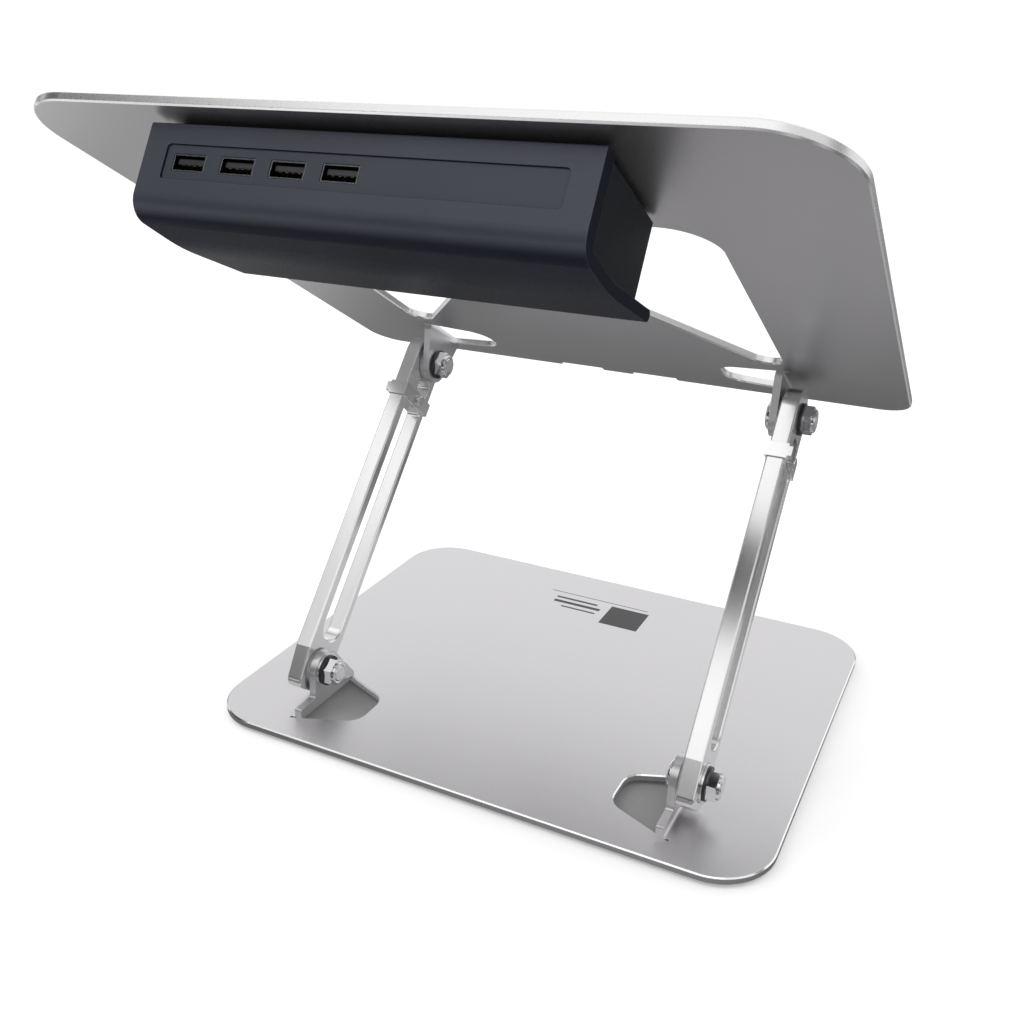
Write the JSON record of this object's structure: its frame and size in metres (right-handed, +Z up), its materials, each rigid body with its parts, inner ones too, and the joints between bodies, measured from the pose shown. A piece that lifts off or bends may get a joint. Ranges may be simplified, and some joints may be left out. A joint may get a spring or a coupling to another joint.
{
  "type": "laptop stand",
  "caption": "Folding metal laptop stand: base plate, slotted arms with friction pivots and a tilting top plate that carries a dark plug-in hub under its rear edge.",
  "frame": {"origin": "on the desk, under the middle of the stand's bounding box at rest", "axes": "+Z up, +Y towards the rear of the stand where the hub's ports face, the user sits at -Y, +X is the user's right"},
  "size_m": [0.291, 0.2774, 0.2851],
  "materials": {
    "plate": "fine bead-blasted satin with bright chamfered edges",
    "arm": "polished satin",
    "collar": "bright stamped band",
    "pin": "turned, bright",
    "steel": "bright plated",
    "nut": "plated",
    "dark_washer": "black oxide",
    "slip_washer": "smooth nylon",
    "rubber": "matt rubber",
    "bracket": "matt black coat",
    "hub_shell": "fine texture",
    "hub_panel": "satin",
    "port_metal": "drawn tin-plated steel",
    "port_black": "moulded black",
    "contact": "gold plated",
    "board": "solder mask",
    "small_screw": "plated"
  },
  "bodies": {
    "base": {"base_plate": "plate", "base_feet": "rubber", "lower_screws": "steel", "lower_seat_washers": "steel", "lower_friction_washers": "slip_washer", "lower_nut_washers": "dark_washer", "lower_nuts": "nut"},
    "left_arm": {"left_arm": "arm", "left_arm_collar": "collar", "left_collar_pin": "pin"},
    "right_arm": {"right_arm": "arm", "right_arm_collar": "collar", "right_collar_pin": "pin"},
    "upper_pivots": {"upper_screws": "steel", "upper_friction_washers": "slip_washer", "upper_nut_washers": "dark_washer", "upper_nuts": "nut"},
    "top": {"top_plate": "plate", "stop_sleeves": "rubber", "plate_pads": "rubber", "hub_bracket": "bracket", "hub_case": "hub_shell", "hub_cover": "hub_shell", "hub_port_panel": "hub_panel", "usb_shells": "port_metal", "usb_tongues": "port_black", "usb_contacts": "contact", "circuit_board": "board", "hub_chip": "port_black", "inlet_shell": "port_metal", "inlet_tongue": "port_black", "bracket_screws": "small_screw", "case_screws": "small_screw", "board_screws": "small_screw"}
  },
  "joints": [
    {"name": "left_arm_fold", "type": "hinge", "parent": "base", "child": "left_arm", "pos_m": [-0.0977, 0.0423, 0.0205], "axis": [1, 0, 0], "range_deg": [-41.4, 48.6]},
    {"name": "right_arm_fold", "type": "hinge", "parent": "base", "child": "right_arm", "pos_m": [0.0977, 0.0423, 0.0205], "axis": [1, 0, 0], "range_deg": [-41.4, 48.6]},
    {"name": "upper_pivot_turn", "type": "hinge", "parent": "left_arm", "child": "upper_pivots", "pos_m": [-0.0977, -0.0688, 0.14652], "axis": [1, 0, 0], "range_deg": [-48.6, 41.4]},
    {"name": "plate_tilt", "type": "hinge", "parent": "upper_pivots", "child": "top", "pos_m": [-0.09075, -0.0688, 0.14652], "axis": [1, 0, 0], "range_deg": [-28, 22]}
  ],
  "couplings": [
    {"joint": "right_arm_fold", "follows": "left_arm_fold", "ratio": 1},
    {"joint": "upper_pivot_turn", "follows": "left_arm_fold", "ratio": -1}
  ]
}
